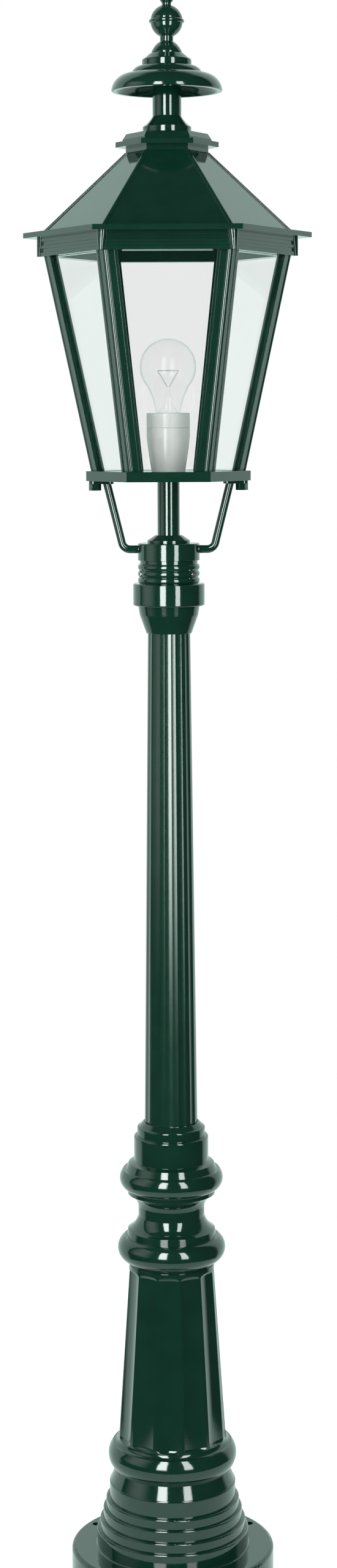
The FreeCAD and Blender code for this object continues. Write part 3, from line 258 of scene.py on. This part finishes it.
def behind(tree, source, output):
    """1 for places or directions behind the post, and 0 for those to its sides and front."""
    level = add(tree, "ShaderNodeVectorMath", operation="MULTIPLY")
    level.inputs[1].default_value = (1.0, 1.0, 0.0)
    link(tree, source, output, level, 0)
    heading = add(tree, "ShaderNodeVectorMath", operation="NORMALIZE")
    link(tree, level, "Vector", heading, 0)
    agreement = add(tree, "ShaderNodeVectorMath", operation="DOT_PRODUCT")
    agreement.inputs[1].default_value = BACKDROP_HEADING
    link(tree, heading, "Vector", agreement, 0)
    return soft_step(tree, agreement, "Value", *BACKDROP_EDGE)


def mirrored_colour(tree, lit):
    """The room's colour where lit is 0, and the backdrop's where it is 1."""
    colour = add(tree, "ShaderNodeMix", data_type="RGBA")
    set_inputs(colour, {"A": (*ROOM, 1.0), "B": (*BACKDROP, 1.0)})
    link(tree, lit, 0, colour, "Factor")
    return colour


def sheet(name, sides, ends, material):
    """A flat rectangle between two sides, in X, and two ends, in Y."""
    (left, right), (near, far) = sides, ends
    corners = [(left, near, 0.0), (right, near, 0.0), (right, far, 0.0), (left, far, 0.0)]
    mesh = bpy.data.meshes.new(name)
    mesh.from_pydata(corners, [], [(0, 1, 2, 3)])
    mesh.materials.append(material)
    piece = bpy.data.objects.new(name, mesh)
    bpy.context.collection.objects.link(piece)
    return piece


def floor_paper():
    """Pale paper: white to the camera apart from the post's shadow, and part of the room in reflections."""
    material, tree, shader = new_material("floor_paper")
    vary_colour(tree, shader, low=(0.84, 0.84, 0.84), high=(0.86, 0.86, 0.86), scale=3.0)
    set_inputs(shader, {"Roughness": 0.9, "Specular IOR Level": 0.0})
    path = add(tree, "ShaderNodeLightPath")
    seen = looked_at(tree, path)
    place = add(tree, "ShaderNodeTexCoord")
    reach = add(tree, "ShaderNodeVectorMath", operation="LENGTH")
    link(tree, place, "Object", reach, 0)

    lift = combine_with(tree, "MULTIPLY", (seen, 0), FLOOR_LIFT)
    glow = add(tree, "ShaderNodeEmission", Color=WHITE)
    link(tree, lift, 0, glow, "Strength")
    near_paper = add(tree, "ShaderNodeAddShader")
    link(tree, shader, 0, near_paper, 0)
    link(tree, glow, 0, near_paper, 1)
    past_shadow = soft_step(tree, reach, "Value", *SHADOW_REACH)
    far = combine(tree, "MULTIPLY", (past_shadow, "Result"), (seen, 0))
    far_paper = add(tree, "ShaderNodeEmission", Color=WHITE, Strength=1.0)
    paper = mix_shaders(tree, (far, 0), near_paper, far_paper)

    near = soft_step(tree, reach, "Value", *LIT_FLOOR_EDGE)
    lit = combine(tree, "MAXIMUM", (behind(tree, place, "Object"), "Result"), (near, "Result"))
    mirrored = add(tree, "ShaderNodeEmission", Strength=1.0)
    link(tree, mirrored_colour(tree, lit), "Result", mirrored, "Color")
    reflected = combine(tree, "SUBTRACT", (path, "Is Glossy Ray"), (seen, 0))
    show(tree, mix_shaders(tree, (reflected, 0), paper, mirrored))
    return material


def make_floor():
    """The floor sheet."""
    sides = (-FLOOR_HALF_WIDTH, FLOOR_HALF_WIDTH)
    ends = (FLOOR_FRONT, FLOOR_BACK)
    floor = sheet("floor_sheet", sides, ends, floor_paper())


def panel_glow(name, width, height, gloss, fade):
    """The glow of a soft box in reflections, dimmed to its sides and foot."""
    material, tree, shader = new_material(name)
    tree.nodes.remove(shader)
    place = add(tree, "ShaderNodeTexCoord")
    axes = add(tree, "ShaderNodeSeparateXYZ")
    link(tree, place, "Object", axes, "Vector")
    aside = add(tree, "ShaderNodeMath", operation="ABSOLUTE")
    link(tree, axes, "X", aside, 0)
    across = soft_step(tree, aside, 0, width / 2, width / 2 * (1.0 - fade), gloss)
    upward = soft_step(tree, axes, "Y", -height / 2, BOX_FOOT_FADE - height / 2)
    strength = combine(tree, "MULTIPLY", (across, "Result"), (upward, "Result"))
    glow = add(tree, "ShaderNodeEmission", Color=(*BOX_TINT, 1.0))
    link(tree, strength, 0, glow, "Strength")
    show(tree, glow)
    return material


def soft_box(name, azimuth, width, radiance, gloss, fade):
    """A tall soft box aimed at the post, and a panel in its place that only reflections show."""
    height = BOX_TOP - BOX_FOOT
    lamp = bpy.data.lights.new(name, "AREA")
    lamp.shape = "RECTANGLE"
    lamp.size = width
    lamp.size_y = height
    lamp.energy = radiance * math.pi * width * height
    box = bpy.data.objects.new(name, lamp)
    bpy.context.collection.objects.link(box)
    box.visible_camera = False
    box.visible_glossy = False

    sides = (-width / 2, width / 2)
    ends = (-height / 2, height / 2)
    panel = sheet(f"{name}_panel", sides, ends, panel_glow(f"{name}_glow", width, height, gloss, fade))
    panel.visible_camera = False
    panel.visible_diffuse = False
    panel.visible_transmission = False
    panel.visible_shadow = False

    angle = math.radians(azimuth)
    x = math.sin(angle) * BOX_DISTANCE
    y = -math.cos(angle) * BOX_DISTANCE
    place = Vector((x, y, BOX_FOOT + height / 2))
    aim = Vector((0.0, 0.0, place.z)) - place
    for piece in (box, panel):
        piece.location = place
        piece.rotation_euler = aim.to_track_quat("-Z", "Y").to_euler()


def make_world():
    """White to the camera; in reflections, a backdrop behind the post and a dim room around it."""
    world = bpy.data.worlds.new("studio")
    world.use_nodes = True
    tree = world.node_tree
    place = add(tree, "ShaderNodeTexCoord")
    axes = add(tree, "ShaderNodeSeparateXYZ")
    link(tree, place, "Generated", axes, "Vector")
    below_ceiling = soft_step(tree, axes, "Z", *CEILING_EDGE)
    lit = combine(tree, "MULTIPLY", (behind(tree, place, "Generated"), "Result"), (below_ceiling, "Result"))
    colour = add(tree, "ShaderNodeMix", data_type="RGBA")
    set_inputs(colour, {"B": WHITE})
    link(tree, mirrored_colour(tree, lit), "Result", colour, "A")
    link(tree, looked_at(tree, add(tree, "ShaderNodeLightPath")), 0, colour, "Factor")
    background = tree.nodes["Background"]
    link(tree, colour, "Result", background, "Color")
    set_inputs(background, {"Strength": 1.0})
    bpy.context.scene.world = world


def make_camera():
    """The photograph's camera."""
    ahead = Vector((0.0, math.cos(CAMERA_PITCH), -math.sin(CAMERA_PITCH)))
    side = Vector((1.0, 0.0, 0.0))
    up = side.cross(ahead)
    rolled_side = side * math.cos(CAMERA_ROLL) - up * math.sin(CAMERA_ROLL)
    rolled_up = up * math.cos(CAMERA_ROLL) + side * math.sin(CAMERA_ROLL)
    turn = Matrix((rolled_side, rolled_up, -ahead)).transposed().to_4x4()
    lens = bpy.data.cameras.new("photo_camera")
    lens.sensor_fit = "VERTICAL"
    lens.sensor_height = SENSOR_MM
    lens.lens = SENSOR_MM * FOCAL_PIXELS / IMAGE_HEIGHT_PIXELS
    lens.clip_start = CLIP_START
    lens.clip_end = CLIP_END
    camera = bpy.data.objects.new("photo_camera", lens)
    camera.matrix_world = Matrix.Translation((CAMERA_SIDE, -CAMERA_DISTANCE, CAMERA_HEIGHT)) @ turn
    bpy.context.collection.objects.link(camera)
    bpy.context.scene.camera = camera


# Scene. The bulb's wall is thin, so its glass hardly bends light. The shaft's reflections are softer than
# those of the castings, so its enamel is duller.
slot_materials = {
    "green_paint": green_paint("green_enamel", smoothest=0.05, roughest=0.10, coat_roughness=0.03),
    "stainless_steel": steel(),
    "porcelain": porcelain(),
    "pane_glass": clear_glass(
        "pane_glass", low=(0.960, 0.973, 0.968), high=(0.968, 0.979, 0.975), ior=1.5, coat=0.0, alpha=1.0
    ),
    "bulb_glass": clear_glass(
        "bulb_glass", low=(0.985, 0.990, 0.988), high=(0.990, 0.994, 0.992), ior=1.02, coat=1.0, alpha=0.35
    ),
    "cap_metal": cap_metal(),
    "wire": wire(),
}
node_materials = {
    "shaft": green_paint("green_enamel_on_tube", smoothest=0.14, roughest=0.22, coat_roughness=0.12),
}
dress(slot_materials, node_materials)
make_floor()
for box in BOXES:
    soft_box(**box)
make_world()
make_camera()
bpy.context.scene.view_settings.view_transform = "Standard"
